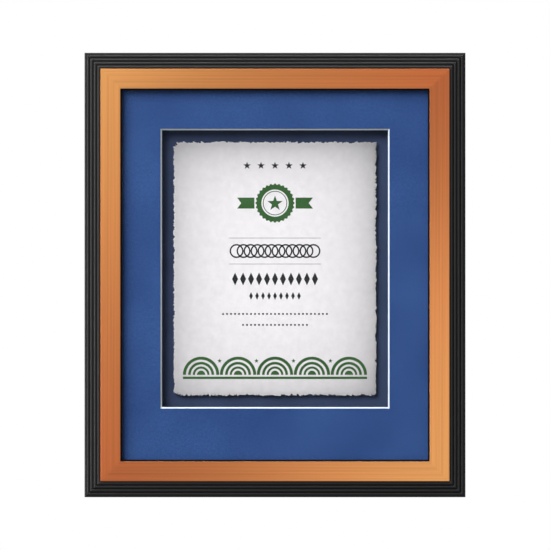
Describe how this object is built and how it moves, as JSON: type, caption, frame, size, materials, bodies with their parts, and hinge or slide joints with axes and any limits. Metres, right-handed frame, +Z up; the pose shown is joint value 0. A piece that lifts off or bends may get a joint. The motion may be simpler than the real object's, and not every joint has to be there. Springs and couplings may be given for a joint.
{
  "type": "certificate frame",
  "caption": "Upright wall-hung certificate frame: black reeded moulding, copper band, blue window mat and a torn-edge sheet floating in a shadow well, with turn buttons behind.",
  "frame": {"origin": "on the wall, at the nail that carries the middle notch of the sawtooth hanger", "axes": "+X to the viewer's right, +Y back towards the wall, +Z up"},
  "size_m": [0.381, 0.0275, 0.4445],
  "materials": {
    "black_lacquer": "satin lacquer",
    "copper_band": "brushed copper tone",
    "picture_glass": "clear",
    "blue_mat_paper": "fine tooth",
    "white_core_board": "cut bevel",
    "navy_mat_board": "fine tooth",
    "foam_board": "matt",
    "deckled_paper": "torn edge",
    "hardboard": "pressed fibre",
    "zinc_steel": "zinc plate",
    "brass_plate": "plated",
    "bumper_rubber": "matt"
  },
  "bodies": {
    "frame": {"backing_board": "hardboard", "bottom_rail": "black_lacquer", "certificate_sheet": "deckled_paper", "copper_strip_bottom": "copper_band", "copper_strip_left": "copper_band", "copper_strip_right": "copper_band", "copper_strip_top": "copper_band", "float_riser": "foam_board", "glazing": "picture_glass", "hanger_brads": "brass_plate", "left_rail": "black_lacquer", "right_rail": "black_lacquer", "sawtooth_hanger": "zinc_steel", "spacer_strip_bottom": "foam_board", "spacer_strip_left": "foam_board", "spacer_strip_right": "foam_board", "spacer_strip_top": "foam_board", "top_rail": "black_lacquer", "turn_button_screws": "zinc_steel", "v_nails": "zinc_steel", "wall_bumper_left": "bumper_rubber", "wall_bumper_right": "bumper_rubber", "well_floor": "navy_mat_board", "window_mat_core": "white_core_board", "window_mat_facing": "blue_mat_paper"},
    "turn_button_top_left": {"turn_button_top_left": "zinc_steel"},
    "turn_button_top_right": {"turn_button_top_right": "zinc_steel"},
    "turn_button_bottom_left": {"turn_button_bottom_left": "zinc_steel"},
    "turn_button_bottom_right": {"turn_button_bottom_right": "zinc_steel"},
    "turn_button_left_lower": {"turn_button_left_lower": "zinc_steel"},
    "turn_button_left_upper": {"turn_button_left_upper": "zinc_steel"},
    "turn_button_right_lower": {"turn_button_right_lower": "zinc_steel"},
    "turn_button_right_upper": {"turn_button_right_upper": "zinc_steel"}
  },
  "joints": [
    {"name": "turn_button_top_left_pivot", "type": "hinge", "parent": "frame", "child": "turn_button_top_left", "pos_m": [-0.10287, -0.0035, -0.004], "axis": [0, 1, 0], "continuous": true},
    {"name": "turn_button_top_right_pivot", "type": "hinge", "parent": "frame", "child": "turn_button_top_right", "pos_m": [0.10287, -0.0035, -0.004], "axis": [0, 1, 0], "continuous": true},
    {"name": "turn_button_bottom_left_pivot", "type": "hinge", "parent": "frame", "child": "turn_button_bottom_left", "pos_m": [-0.10287, -0.0035, -0.4045], "axis": [0, 1, 0], "continuous": true},
    {"name": "turn_button_bottom_right_pivot", "type": "hinge", "parent": "frame", "child": "turn_button_bottom_right", "pos_m": [0.10287, -0.0035, -0.4045], "axis": [0, 1, 0], "continuous": true},
    {"name": "turn_button_left_lower_pivot", "type": "hinge", "parent": "frame", "child": "turn_button_left_lower", "pos_m": [-0.1685, -0.0035, -0.32427], "axis": [0, 1, 0], "continuous": true},
    {"name": "turn_button_left_upper_pivot", "type": "hinge", "parent": "frame", "child": "turn_button_left_upper", "pos_m": [-0.1685, -0.0035, -0.08424], "axis": [0, 1, 0], "continuous": true},
    {"name": "turn_button_right_lower_pivot", "type": "hinge", "parent": "frame", "child": "turn_button_right_lower", "pos_m": [0.1685, -0.0035, -0.32427], "axis": [0, 1, 0], "continuous": true},
    {"name": "turn_button_right_upper_pivot", "type": "hinge", "parent": "frame", "child": "turn_button_right_upper", "pos_m": [0.1685, -0.0035, -0.08424], "axis": [0, 1, 0], "continuous": true}
  ]
}
